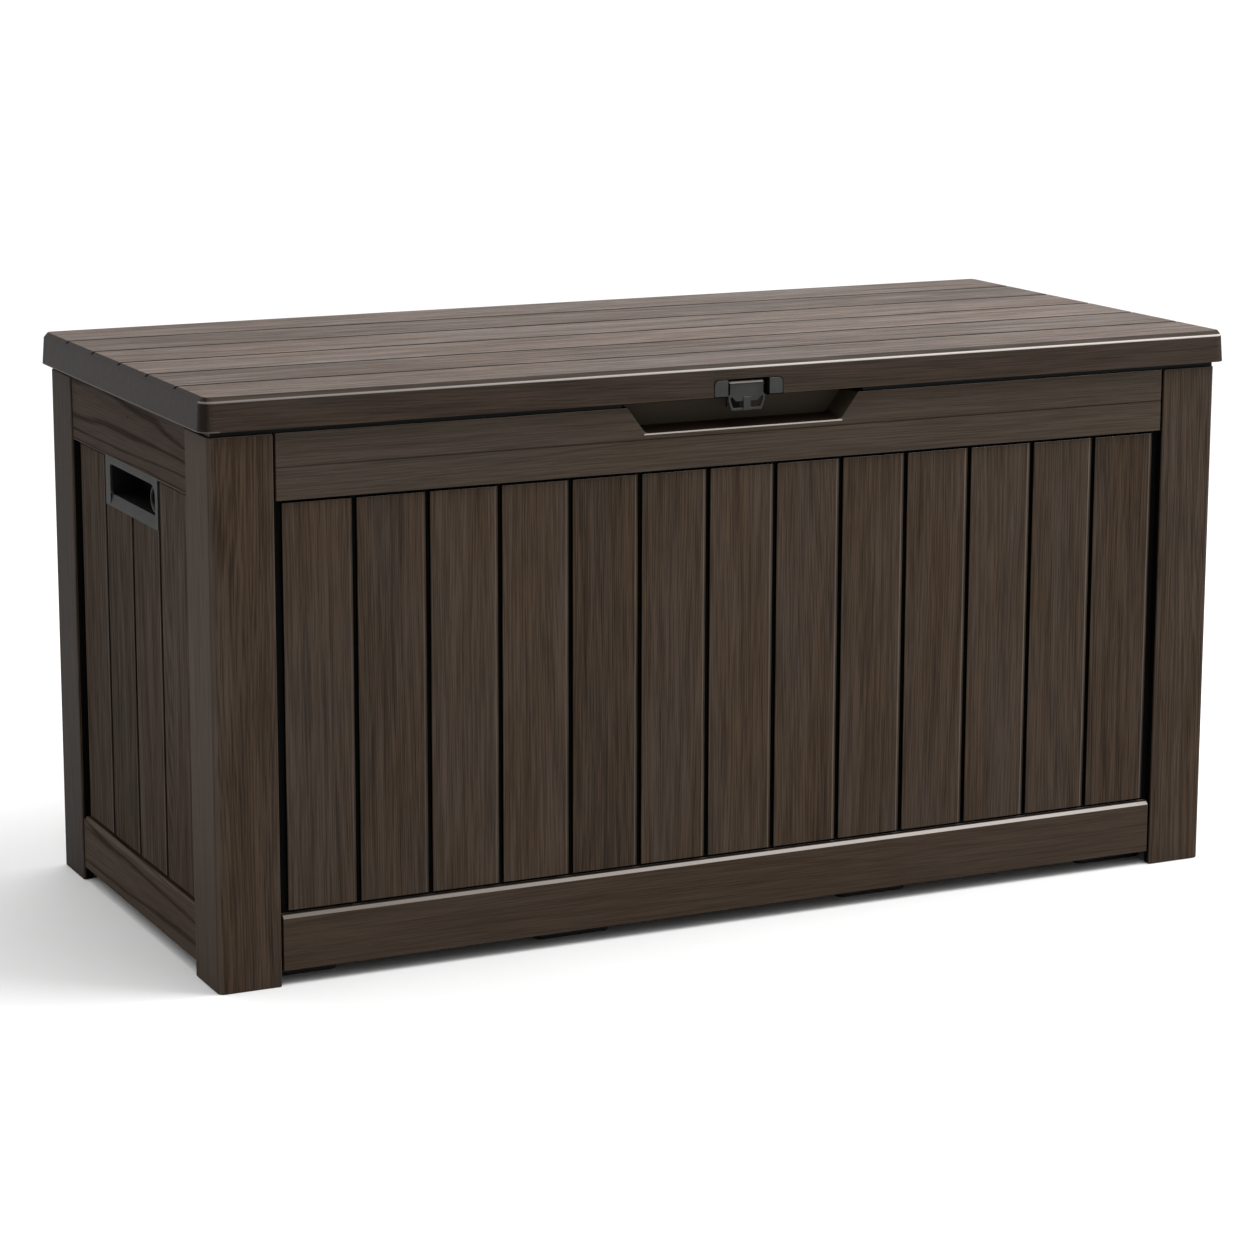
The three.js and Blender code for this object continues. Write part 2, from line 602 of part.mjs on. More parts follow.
// ---- assembly ----
place("base_floor", "base_resin", buildFloor());
place("front_panel", "plank_resin", buildFront());
place("back_panel", "plank_resin", buildBack());
place("left_panel", "plank_resin", buildSide(-1));
place("right_panel", "plank_resin", buildSide(1));
place("post_front_left", "plank_resin", buildPost(-1, -1));
place("post_front_right", "plank_resin", buildPost(1, -1));
place("post_back_left", "plank_resin", buildPost(-1, 1));
place("post_back_right", "plank_resin", buildPost(1, 1));
FOOT.columns.forEach((x, i) => {
  place(`foot_front_${i + 1}`, "base_resin", buildFoot(x, -FOOT.row));
  place(`foot_back_${i + 1}`, "base_resin", buildFoot(x, FOOT.row));
});
place("handle_left", "grey_plastic", buildHandle(-1));
place("handle_right", "grey_plastic", buildHandle(1));
place("latch_keeper", "base_resin", buildKeeper());
place("lid", "lid_resin", buildLid());
place("latch_plate", "grey_plastic", buildLatchPlate());
place("latch_pin", "steel", rodX(HASP_PIN, [-LATCH.half + 6.5, LATCH.half - 6.5], HASP.y, HASP.z));
place("latch_hasp", "grey_plastic", buildHasp());
HINGE_X.forEach((x, i) => {
  place(`hinge_body_leaf_${i + 1}`, "hinge_plastic", buildBodyLeaf(x));
  place(`hinge_lid_leaf_${i + 1}`, "hinge_plastic", buildLidLeaf(x));
  place(`hinge_pin_${i + 1}`, "steel", rodX(HINGE.pin, [x - HINGE.half, x + HINGE.half], HINGE.y, HINGE.z));
});
for (const i of SCREW_ROW) {
  const bodySeat = CASE_Y - RAIL_SET + LEAF;
  const lidSeat = LID_Y - GAP - SCREW.headHeight;
  place(`hinge_body_screw_${i + 1}`, "steel", buildScrew(screwX(i), bodySeat, BODY_LEAF.screwZ));
  place(`hinge_lid_screw_${i + 1}`, "steel", buildScrew(screwX(i), lidSeat, LID_LEAF.screwZ));
}

export default box;
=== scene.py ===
"""Deck storage box: looks, floor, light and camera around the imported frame."""
import math

import bpy
from mathutils import Matrix, Vector

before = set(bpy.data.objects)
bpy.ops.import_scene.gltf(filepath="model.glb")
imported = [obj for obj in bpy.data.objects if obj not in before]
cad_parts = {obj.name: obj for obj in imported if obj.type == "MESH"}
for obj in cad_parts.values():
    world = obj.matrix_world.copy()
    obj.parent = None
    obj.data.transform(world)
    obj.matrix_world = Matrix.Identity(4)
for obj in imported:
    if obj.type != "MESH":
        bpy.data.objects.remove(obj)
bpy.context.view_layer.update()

# Lengths are in metres and angles in radians, unless named otherwise.
# x runs from left to right along the front, y from front to back, z up.

# ---- camera, light and floor ----
CAMERA_AT = (-1.7426, -3.5977, 1.1538)
CAMERA_TURN = -0.4488  # about the upright
CAMERA_TILT = 0.1984  # below level
CAMERA_ROLL = 0.0025
CAMERA_LENS = 102.69  # millimetres
CAMERA_SENSOR = 36  # millimetres
CAMERA_SHIFT = -0.05
CAMERA_REACH = 200

WORLD_LEVEL = 0.25
# Light added towards an axis: (axis, where it starts, where it is full, how much).
WORLD_FADES = [("Z", 0.25, 0.9, 1.1), ("Y", 0.1, 0.9, 0.6), ("X", 0.15, 0.75, 0.65)]

KEY_AT = (1.5, -1.0, 2.8)
KEY_TARGET = (0.1, -0.2, 0.3)
KEY_SIZE = (1.8, 1.5)
KEY_POWER = 72.0  # watts

FLOOR_HALF = 60.0

# ---- places on the object; a pair is from and to ----
FRONT_FIELD = 0.524  # half width of the front planks
FRONT_PITCH = 2 * FRONT_FIELD / 13
SIDE_FIELD = 0.183  # half width of the planks on the short sides
SIDE_PITCH = 2 * SIDE_FIELD / 4
LONG_GROOVE = (0.2560, 0.2608)  # bottoms of the grooves, as distances from the middle
SHORT_GROOVE = (0.5880, 0.5928)
GROOVE_HEIGHTS = (0.0755, 0.5075)
RAIL_LOW_TOP = 0.077
RAIL_HIGH_LOW = 0.506
SCORED_LINE = (0.5400, 0.5440)
SHORT_RAIL_FOOT = (RAIL_HIGH_LOW + 0.0015, RAIL_HIGH_LOW + 0.0030)  # painted highlight line

GRIP_HALF = 0.145
GRIP_FLOOR = 0.5465
GRIP_DEPTHS = (0.2, 0.2655)
LIP_HALF = 0.1185
LIP_HEIGHT = 0.548  # front lip of the finger grip
# Painted highlight along the rounded front lip.
LIP_LINE = (LIP_HEIGHT - 0.0012, LIP_HEIGHT + 0.0003)
LIP_FRONT = -0.2652

POST_INSIDE = (0.5970, 0.2650, 0.5745)  # inner faces of the posts, painted black as shade, are nearer than this along x, y and z

LID_PITCH = 0.092
LID_GROOVE_HALF = 0.0027
LID_GROOVE_HEIGHTS = (0.6140, 0.6168)
# The front shoulder carries a painted highlight line.
LID_SHOULDER = 0.613  # where the skirt turns into the bevel
LID_SHOULDER_BLUR = (0.0006, 0.0014)
LID_FRONT = -0.262
LID_UNDER = 0.5829  # below the skirt's foot, painted black as shade
# Painted highlight line along the left foot.
LID_FOOT = (0.5830, 0.5842)
LID_LEFT = -0.590

HASP_SHINE = (0.5968, 0.0009)  # middle and reach of the painted highlight line along the hasp's top

# Recesses painted black as shade: middle and reach along x, y and z.
CUP_INSIDE = ((0.0, 0.5922), (0.0, 0.3), (0.48, 0.2))
POCKET_INSIDE = ((0.0, 0.0252), (-0.265, 0.0105), (0.592, 0.0105))

# ---- colours and tints ----
RESIN = (0.0415, 0.0270, 0.0172)
# The same resin, darkened as painted shade on the short sides.
SIDE_RESIN_SHADED = (0.0347, 0.0214, 0.0123)
LID_RESIN = (0.0400, 0.0258, 0.0170)
GREY = (0.031, 0.032, 0.030)
PAINTED_HIGHLIGHT = (0.46, 0.42, 0.39)  # painted highlight on edges and lines
# Painted shade: grooves, recesses, inner faces and what lies under the lid's skirt.
SHADE_BLACK = (0.0016, 0.0013, 0.0011)
BASE = (0.012, 0.010, 0.009)
STEEL = (0.45, 0.46, 0.47)
FLOOR_TONES = ((0.84, 0.84, 0.84), (0.87, 0.87, 0.87))

LONG_RAIL_TINT = (1.12, 1.24, 1.34)
SHORT_RAIL_TINT = (0.67, 0.63, 0.62)
GRIP_WALL_TINT = (0.94, 0.95, 0.90)
# Painted shade on the grip's floor.
GRIP_FLOOR_SHADE = (0.5, 0.42, 0.4)
# Painted shade on the rear posts' sides.
REAR_POST_SHADE = (0.55, 0.51, 0.46)
# Painted sheen lightening the lid's top, painted shade on its skirt and more on its ends.
LID_TOP_SHEEN = (1.80, 1.72, 1.72)
LID_REST_SHADE = (0.80, 0.80, 0.80)
LID_END_SHADE = (0.38, 0.34, 0.32)

# ---- grain ----
COMB_DENSITY = 320.0  # fine grain lines to the metre
LINE_SWAY = 28.0
# Texture density of each layer, across the grain and along it.
DENSITY = {
    "field": (10, 1.0),
    "warp": (70, 7),
    "fine": (650, 14),
    "middle": (150, 5),
    "patches": (20, 3),
}
GRIT_DENSITY = 2500.0
GRIT_DEPTH = 0.00006
GRAIN_DEPTH = 0.0004

RIM_OUT = 0.0066  # painted highlight line along one edge of each plank, measured from the groove's middle
RIM_IN = 0.0044
RIM_BLUR = 0.0008
FLANK_SHADE = 0.35  # painted shade on the plank's edge beside the groove

STREAK_SHARE = 0.62
PATCH_SHARE = 0.12
TONE_SHARE = 0.16
DARKEST = 0.35  # of the base colour
PALEST = 1.75
GREYING = 0.45  # how far the cooler patches are drawn to grey

# ---- rounding ----
ROUNDING = {
    "long": 0.0005,
    "short": 0.0012,
    "post": 0.0015,
    "lid": 0.0008,
    "base": 0.0006,
    "handle": 0.0003,
}
ROUNDING_ELSEWHERE = 0.0004
WELD = 0.00001
WELD_CROWDED = 0.0001  # closes slivers narrower than this
# Looks of the solids with corners closer than two roundings.
CROWDED = ("short", "lid", "handle", "hinge", "base")


# ---- shader helpers ----
class Shader:
    """A material under construction; each call adds one node and gives back its output."""

    def __init__(self, name):
        self.material = bpy.data.materials.new(name)
        self.material.use_nodes = True
        self.tree = self.material.node_tree
        self.surface = self.tree.nodes["Principled BSDF"]
        around = self.node("ShaderNodeTexCoord")
        self.place = around.outputs["Object"]
        self.normal = around.outputs["Normal"]

    def node(self, kind, **settings):
        made = self.tree.nodes.new(kind)
        for key, value in settings.items():
            setattr(made, key, value)
        return made

    def feed(self, socket, value):
        if isinstance(value, bpy.types.NodeSocket):
            self.tree.links.new(value, socket)
        else:
            socket.default_value = value

    def math(self, operation, a, b=0.0, c=0.0, clamp=False):
        made = self.node("ShaderNodeMath", operation=operation, use_clamp=clamp)
        for socket, value in zip(made.inputs, (a, b, c)):
            self.feed(socket, value)
        return made.outputs[0]

    def vector(self, operation, a, b):
        made = self.node("ShaderNodeVectorMath", operation=operation)
        self.feed(made.inputs[0], a)
        self.feed(made.inputs[1], b)
        return made.outputs[0]

    def axis(self, point, index):
        made = self.node("ShaderNodeSeparateXYZ")
        self.feed(made.inputs[0], point)
        return made.outputs[index]

    def axes(self, point):
        return [self.axis(point, index) for index in range(3)]

    def noise(self, point, stretch, detail=2.0, rough=0.5):
        made = self.node("ShaderNodeTexNoise")
        self.feed(made.inputs["Vector"], self.vector("MULTIPLY", point, stretch))
        made.inputs["Scale"].default_value = 1.0
        made.inputs["Detail"].default_value = detail
        made.inputs["Roughness"].default_value = rough
        return made.outputs["Fac"]

    def spread(self, value, low, high, to_low=0.0, to_high=1.0):
        made = self.node("ShaderNodeMapRange", interpolation_type="SMOOTHSTEP")
        for socket, given in zip(made.inputs, (value, low, high, to_low, to_high)):
            self.feed(socket, given)
        return made.outputs[0]

    def blend(self, share, a, b, mode="MIX"):
        made = self.node("ShaderNodeMix", data_type="RGBA", blend_type=mode)
        self.feed(made.inputs[0], share)
        for socket, value in ((made.inputs[6], a), (made.inputs[7], b)):
            self.feed(socket, tuple(value) + (1.0,) if isinstance(value, tuple) else value)
        return made.outputs[2]

    def relief(self, height, distance, strength):
        made = self.node("ShaderNodeBump")
        made.inputs["Distance"].default_value = distance
        made.inputs["Strength"].default_value = strength
        self.feed(made.inputs["Height"], height)
        self.feed(self.surface.inputs["Normal"], made.outputs[0])


def tint(colour, factor):
    return tuple(channel * factor for channel in colour)


def inverse(shader, mask):
    return shader.math("SUBTRACT", 1.0, mask)


def between(shader, value, low, high):
    above = shader.math("GREATER_THAN", value, low)
    below = shader.math("LESS_THAN", value, high)
    return shader.math("MULTIPLY", above, below)


def every(shader, *masks):
    """The product of masks: 1 where all of them are 1."""
    total = masks[0]
    for mask in masks[1:]:
        total = shader.math("MULTIPLY", total, mask)
    return total


def choose(shader, mask, inside, outside):
    """inside where mask is 1, outside where it is 0, for each pair of values."""
    kept = []
    for one, other in zip(inside, outside):
        made = shader.node("ShaderNodeMix", data_type="FLOAT")
        for index, value in ((0, mask), (2, other), (3, one)):
            shader.feed(made.inputs[index], value)
        kept.append(made.outputs[0])
    return kept


def weaken(shader, value, share):
    """Draws a value towards 0.5, to the given share of its contrast; a share above 1 strengthens it."""
    return shader.math("MULTIPLY_ADD", shader.math("SUBTRACT", value, 0.5), share, 0.5)


def outward(shader, axis):
    """0 on faces that look into the box, 1 on the rest."""
    side = shader.math("MULTIPLY", shader.axis(shader.place, axis), shader.axis(shader.normal, axis))
    return shader.math("GREATER_THAN", side, -0.02)


# ---- grain and wear ----
ALONG = {"x": 0, "y": 1, "z": 2}


def layer(shader, point, along, name, detail, rough=0.5):
    """One noise layer, drawn out along the grain."""
    across, lengthwise = DENSITY[name]
    density = [across] * 3
    density[ALONG[along]] = lengthwise
    return shader.noise(point, tuple(density), detail, rough)


def grain(shader, point, along, tight=0.3):
    """Moulded wood grain. Gives (streaks, growth lines, patches), each from 0 to 1."""
    parts = [shader.axis(point, index) for index in range(3) if index != ALONG[along]]
    across = shader.math("ADD", *parts)
    field = layer(shader, point, along, "field", 1.0, 0.4)
    warp = layer(shader, point, along, "warp", 2.0)
    bands = shader.math("MULTIPLY_ADD", field, LINE_SWAY, shader.math("MULTIPLY", warp, 1.4))
    comb = shader.math("MULTIPLY_ADD", across, COMB_DENSITY, bands)
    wave = shader.math("SINE", shader.math("MULTIPLY", comb, 2 * math.pi))
    fine = layer(shader, point, along, "fine", 2.0, 0.7)
    middle = layer(shader, point, along, "middle", 1.0, 0.6)
    mixed = shader.math("MULTIPLY_ADD", wave, 0.045, shader.math("MULTIPLY", fine, 0.7))
    mixed = shader.math("ADD", mixed, shader.math("MULTIPLY", middle, 0.3))
    streaks = shader.spread(mixed, 0.36, 0.64)
    slow = shader.math("MULTIPLY_ADD", across, COMB_DENSITY / 7, shader.math("MULTIPLY", bands, 0.35))
    saw = shader.math("ABSOLUTE", shader.math("SUBTRACT", shader.math("FRACT", slow), 0.5))
    lines = shader.spread(saw, 0.0, tight)
    patches = shader.spread(layer(shader, point, along, "patches", 2.0, 0.6), 0.3, 0.7)
    return streaks, lines, patches


def plank_grain(shader, plank, along):
    """Grain that starts afresh in each plank.

    Gives its values, the plank's own tone, its painted highlight rim and its painted shade on the flank.
    plank is (the axis that the planks follow each other along, half their field, their pitch,
    1.0 or -1.0 for the direction).
    """
    axis, field, pitch, way = plank
    ordinate = shader.math("MULTIPLY_ADD", shader.axis(shader.place, ALONG[axis]), way, field)
    place = shader.math("DIVIDE", ordinate, pitch)
    random = shader.node("ShaderNodeTexWhiteNoise", noise_dimensions="1D")
    shader.feed(random.inputs["W"], shader.math("FLOOR", place))
    shift = shader.vector("MULTIPLY", random.outputs["Color"], (9.0, 9.0, 9.0))
    values = grain(shader, shader.vector("ADD", shader.place, shift), along)
    across = shader.math("FRACT", place)
    rise = shader.spread(across, 1 - RIM_OUT / pitch, 1 - (RIM_OUT - RIM_BLUR) / pitch)
    fall = shader.spread(across, 1 - (RIM_IN + RIM_BLUR) / pitch, 1 - RIM_IN / pitch)
    flank_shade = shader.spread(across, 1 - RIM_IN / pitch, 1 - (RIM_IN - RIM_BLUR) / pitch, 0.0, FLANK_SHADE)
    return values, random.outputs["Value"], shader.math("SUBTRACT", rise, fall), flank_shade


def rail_grain(shader, along, streak_contrast, line_contrast):
    streaks, lines, patches = grain(shader, shader.place, along, tight=0.2)
    streaks = weaken(shader, streaks, streak_contrast)
    lines = weaken(shader, lines, line_contrast)
    return streaks, lines, weaken(shader, patches, streak_contrast)


def edges(shader, sides, upward, rightward):
    """Painted highlight on a rounded edge by the way it faces, more where it faces up or right towards the
    light: 0 on flat faces.
    """
    nx, ny, nz = shader.axes(shader.normal)
    largest = 0.0
    for part in (nx, ny, nz):
        largest = shader.math("MAXIMUM", shader.math("ABSOLUTE", part), largest)
    is_edge = shader.spread(largest, 0.80, 0.97, 1.0, 0.0)
    level = shader.spread(shader.math("ABSOLUTE", nx), 0.15, 0.4, 1.0, 0.0)
    up = every(shader, shader.math("MULTIPLY", nz, 1.4, clamp=True), level)
    right = shader.math("MULTIPLY", nx, 1.4, clamp=True)
    share = shader.math("MULTIPLY_ADD", up, upward, sides)
    share = shader.math("MULTIPLY_ADD", right, rightward, share)
    return shader.math("MULTIPLY", is_edge, share, clamp=True)


def grain_tone(shader, values, tone, contrast, line_share):
    """How light the resin is, from 0 to 1, out of its grain and its plank's own tone."""
    streaks, lines, patches = values
    drawn = shader.math("MULTIPLY", lines, line_share)
    light = shader.math("MULTIPLY_ADD", streaks, STREAK_SHARE - line_share, drawn)
    light = shader.math("ADD", light, shader.math("MULTIPLY", patches, PATCH_SHARE))
    light = shader.math("ADD", light, shader.math("MULTIPLY", tone, TONE_SHARE))
    return weaken(shader, light, contrast)


def dress(shader, values, tone, highlight, dark, looks, shade, relief=0.8):
    """Joins grain, plank tone, painted highlights on edges and painted shade in recesses into colour, gloss
    and relief.

    looks is (base colour, contrast, specular level, roughness, share of the growth lines);
    shade is a list of (mask, tint); some tints are painted sheen or painted shade.
    """
    streaks, lines, patches = values
    base, contrast, level, roughness, line_share = looks
    light = grain_tone(shader, values, tone, contrast, line_share)
    warm = shader.blend(light, tint(base, DARKEST), tint(base, PALEST))
    grey = sum(base) / 3
    cool = tuple((1 - GREYING) * channel + GREYING * grey for channel in base)
    cooled = shader.blend(light, tint(cool, DARKEST), tint(cool, PALEST))
    colour = shader.blend(shader.math("MULTIPLY", patches, 0.6), warm, cooled)
    for share, factor in shade:
        shaded = shader.blend(1.0, colour, factor, mode="MULTIPLY")
        colour = shader.blend(share, colour, shaded)
    # Painted highlight on edges and lines, then black painted shade.
    colour = shader.blend(highlight, colour, PAINTED_HIGHLIGHT)
    colour = shader.blend(dark, colour, SHADE_BLACK)
    shader.feed(shader.surface.inputs["Base Color"], colour)
    shader.surface.inputs["Specular IOR Level"].default_value = level
    gloss = shader.spread(light, 0.0, 1.0, roughness + 0.14, roughness - 0.05)
    shader.feed(shader.surface.inputs["Roughness"], gloss)
    height = shader.math("ADD", shader.math("MULTIPLY", lines, 0.35), shader.math("MULTIPLY", streaks, 0.65))
    shader.relief(height, GRAIN_DEPTH, relief)


# ---- materials ----
def grip_mask(shader, z, depth):
    """1 inside the finger grip, behind its front lip."""
    near = shader.math("LESS_THAN", shader.math("ABSOLUTE", shader.axis(shader.place, 0)), GRIP_HALF)
    above = shader.math("GREATER_THAN", z, GRIP_FLOOR)
    return every(shader, near, above, between(shader, depth, *GRIP_DEPTHS))


def lip_highlight(shader):
    x, y, z = shader.axes(shader.place)
    reach = shader.math("COMPARE", x, 0.0, LIP_HALF)
    return every(shader, between(shader, z, *LIP_LINE), reach, shader.math("LESS_THAN", y, LIP_FRONT))


def long_details(shader, values, highlight, z, depth):
    """The finger grip with a painted highlight along its lip and painted shade on its floor, and the tint of
    the top rail.
    """
    grip = grip_mask(shader, z, depth)
    unscored = inverse(shader, between(shader, z, *SCORED_LINE))
    # The painted highlights fade towards the left, away from the light.
    fade = shader.spread(shader.axis(shader.place, 0), -0.6, 0.3, 0.3, 1.0)
    highlight = every(shader, highlight, inverse(shader, grip), unscored, fade)
    highlight = shader.math("MAXIMUM", highlight, shader.math("MULTIPLY", lip_highlight(shader), 0.8))
    values = choose(shader, grip, (0.5, 0.5, 0.5), values)
    level_part = shader.spread(shader.axis(shader.normal, 2), 0.5, 0.9)
    shade = [
        (shader.math("GREATER_THAN", z, RAIL_HIGH_LOW), LONG_RAIL_TINT),
        (grip, GRIP_WALL_TINT),
        (every(shader, grip, level_part), GRIP_FLOOR_SHADE),
    ]
    return values, highlight, shade


def short_details(shader, values, highlight, z, depth):
    """The painted highlight line under the top rail, and the tint of that rail."""
    foot_highlight = between(shader, z, *SHORT_RAIL_FOOT)
    highlight = shader.math("MAXIMUM", highlight, shader.math("MULTIPLY", foot_highlight, 0.10))
    shade = [(shader.math("GREATER_THAN", z, RAIL_HIGH_LOW), SHORT_RAIL_TINT)]
    return values, highlight, shade


def panel_resin(
    name, plank, depth_axis, groove, line_keep, rail, edge_shares, rim_highlight_share, looks, relief, details
):
    """A plank panel between two rails: upright grain in the planks, level grain in the rails."""
    shader = Shader(name)
    (streaks, lines, patches), tone, rim_highlight, flank_shade = plank_grain(shader, plank, "z")
    values = (streaks, weaken(shader, lines, line_keep), patches)
    z = shader.axis(shader.place, 2)
    is_plank = between(shader, z, RAIL_LOW_TOP, RAIL_HIGH_LOW)
    values = choose(shader, is_plank, values, rail_grain(shader, *rail))
    tone, rim_highlight, flank_shade = choose(shader, is_plank, (tone, rim_highlight, flank_shade), (0.45, 0.0, 0.0))
    depth = shader.math("ABSOLUTE", shader.axis(shader.place, depth_axis))
    # Painted shade: the groove bottoms go black.
    in_groove = between(shader, depth, *groove)
    bottom = every(shader, in_groove, between(shader, z, *GROOVE_HEIGHTS), outward(shader, depth_axis))
    dark = shader.math("MAXIMUM", bottom, flank_shade)
    # Painted highlights on rounded edges and along each plank's rim.
    highlight = shader.math("MAXIMUM", edges(shader, *edge_shares), shader.math("MULTIPLY", rim_highlight, rim_highlight_share))
    values, highlight, shade = details(shader, values, highlight, z, depth)
    dress(shader, values, tone, highlight, dark, looks, shade, relief)
    return shader.material


def post_resin():
    """Upright grain, softer on the sides; painted shade darkens the rear posts' sides and blackens the inner
    faces.
    """
    shader = Shader("post_resin")
    facing = shader.math("ABSOLUTE", shader.axis(shader.normal, 1))
    smooth = shader.spread(facing, 0.5, 0.9, 0.35, 1.0)
    values = [weaken(shader, value, smooth) for value in grain(shader, shader.place, "z")]
    side = shader.spread(shader.math("ABSOLUTE", shader.axis(shader.normal, 0)), 0.8, 0.95)
    rear = shader.spread(shader.axis(shader.place, 1), -0.1, 0.1)
    x, y, z = shader.axes(shader.place)
    distances = (shader.math("ABSOLUTE", x), shader.math("ABSOLUTE", y), z)
    limits = zip(distances, POST_INSIDE)
    inner = every(shader, *(shader.math("LESS_THAN", distance, limit) for distance, limit in limits))
    shade = [(every(shader, side, rear), REAR_POST_SHADE)]
    dress(shader, values, 0.5, edges(shader, 0.04, 0.2, 0.0), inner, (RESIN, 1.0, 0.05, 0.5, 0.12), shade)
    return shader.material


def lid_dark(shader, y, z):
    """Painted shade in the grooves of the lid's top, and black painted shade on what lies below its skirt.
    """
    across = shader.math("FRACT", shader.math("DIVIDE", shader.math("ADD", y, 3 * LID_PITCH), LID_PITCH))
    off = shader.math("ABSOLUTE", shader.math("SUBTRACT", across, 0.5))
    in_groove = shader.math("GREATER_THAN", off, 0.5 - LID_GROOVE_HALF / LID_PITCH)
    grooves = every(shader, in_groove, between(shader, z, *LID_GROOVE_HEIGHTS), 0.7)
    return shader.math("MAXIMUM", grooves, shader.math("LESS_THAN", z, LID_UNDER))


def lid_highlight(shader, x, y, z):
    """The painted highlight along the front shoulder, fading to the left, and a thin painted highlight along
    the left foot.
    """
    off = shader.math("ABSOLUTE", shader.math("SUBTRACT", z, LID_SHOULDER))
    line = shader.spread(off, *LID_SHOULDER_BLUR, 1.0, 0.0)
    front = shader.math("LESS_THAN", y, LID_FRONT)
    line = every(shader, line, front, shader.spread(x, -0.62, 0.2, 0.3, 1.0))
    foot = every(shader, between(shader, z, *LID_FOOT), shader.math("LESS_THAN", x, LID_LEFT), 0.14)
    return shader.math("MAXIMUM", line, foot)


def lid_resin():
    """Lengthwise planks on top, calmer grain on the skirt; a painted sheen lightens the top, painted shade
    darkens the skirt and more so the ends.
    """
    shader = Shader("lid_resin")
    values, tone, _, _ = plank_grain(shader, ("y", 3 * LID_PITCH, LID_PITCH, 1.0), "x")
    side = shader.spread(shader.math("ABSOLUTE", shader.axis(shader.normal, 0)), 0.2, 0.6)
    is_top = shader.spread(shader.axis(shader.normal, 2), 0.85, 0.98)
    strength = shader.math("MAXIMUM", shader.math("MULTIPLY_ADD", side, -0.4, 0.6), is_top)
    values = [weaken(shader, value, strength) for value in values]
    tone = choose(shader, is_top, (tone,), (0.4,))[0]
    x, y, z = shader.axes(shader.place)
    shade = [(is_top, LID_TOP_SHEEN), (inverse(shader, is_top), LID_REST_SHADE), (side, LID_END_SHADE)]
    looks = (LID_RESIN, 1.3, 0.09, 0.42, 0.12)
    dress(shader, values, tone, lid_highlight(shader, x, y, z), lid_dark(shader, y, z), looks, shade)
    return shader.material


def moulded(name, base, roughness, level=0.4, recess=None, edge_shares=(0.03, 0.12, 0.03), shine=None):
    """Plain moulded plastic with a fine sparked texture, painted highlights on its edges, and black painted
    shade inside a recess.
    """
    shader = Shader(name)
    coarse = shader.noise(shader.place, (40.0, 40.0, 40.0), detail=3.0)
    fine = shader.noise(shader.place, (GRIT_DENSITY, GRIT_DENSITY, GRIT_DENSITY))
    colour = shader.blend(shader.spread(coarse, 0.3, 0.7), tint(base, 0.85), tint(base, 1.18))
    colour = shader.blend(edges(shader, *edge_shares), colour, PAINTED_HIGHLIGHT)
    if shine is not None:
        # A painted highlight line at a given height.
        line = shader.math("COMPARE", shader.axis(shader.place, 2), *shine)
        colour = shader.blend(line, colour, PAINTED_HIGHLIGHT)
    if recess is not None:
        limits = zip(shader.axes(shader.place), recess)
        inside = [shader.math("COMPARE", axis, middle, reach) for axis, (middle, reach) in limits]
        colour = shader.blend(every(shader, *inside), colour, SHADE_BLACK)
    shader.feed(shader.surface.inputs["Base Color"], colour)
    shader.surface.inputs["Specular IOR Level"].default_value = level
    gloss = shader.spread(fine, 0.3, 0.7, roughness - 0.06, roughness + 0.08)
    shader.feed(shader.surface.inputs["Roughness"], gloss)
    shader.relief(fine, GRIT_DEPTH, 0.6)
    return shader.material


def metal(name, base):
    shader = Shader(name)
    brushed = shader.noise(shader.place, (3000.0, 90.0, 3000.0))
    colour = shader.blend(brushed, tint(base, 0.7), tint(base, 1.15))
    shader.feed(shader.surface.inputs["Base Color"], colour)
    shader.surface.inputs["Metallic"].default_value = 1.0
    shader.feed(shader.surface.inputs["Roughness"], shader.spread(brushed, 0.2, 0.8, 0.25, 0.45))
    shader.relief(brushed, 0.00003, 0.5)
    return shader.material


LOOKS = {
    "long": panel_resin(
        "plank_resin_long",
        plank=("x", FRONT_FIELD, FRONT_PITCH, 1.0),
        depth_axis=1,
        groove=LONG_GROOVE,
        line_keep=1.0,
        rail=("x", 0.6, 0.6),
        edge_shares=(0.03, 0.85, 0.06),
        rim_highlight_share=0.11,
        looks=(RESIN, 0.95, 0.05, 0.5, 0.14),
        relief=0.8,
        details=long_details,
    ),
    "short": panel_resin(
        "plank_resin_short",
        plank=("y", SIDE_FIELD, SIDE_PITCH, -1.0),
        depth_axis=0,
        groove=SHORT_GROOVE,
        line_keep=0.15,
        rail=("y", 0.5, 3.0),
        edge_shares=(0.06, 0.15, 0.0),
        rim_highlight_share=0.07,
        looks=(SIDE_RESIN_SHADED, 1.3, 0.03, 0.6, 0.14),
        relief=0.3,
        details=short_details,
    ),
    "post": post_resin(),
    "lid": lid_resin(),
    "base": moulded("base_resin", BASE, 0.6),
    "handle": moulded("handle_plastic", tint(GREY, 0.5), 0.55, 0.15, CUP_INSIDE),
    "latch": moulded("latch_plastic", tint(GREY, 0.8), 0.45, 0.25, POCKET_INSIDE),
    "hasp": moulded("hasp_plastic", tint(GREY, 0.6), 0.4, 0.25, None, (0.02, 0.1, 0.05), HASP_SHINE),
    "hinge": moulded("hinge_plastic", tint(GREY, 0.8), 0.45),
    "steel": metal("steel", STEEL),
    "blackened": metal("blackened_steel", tint(STEEL, 0.04)),
}


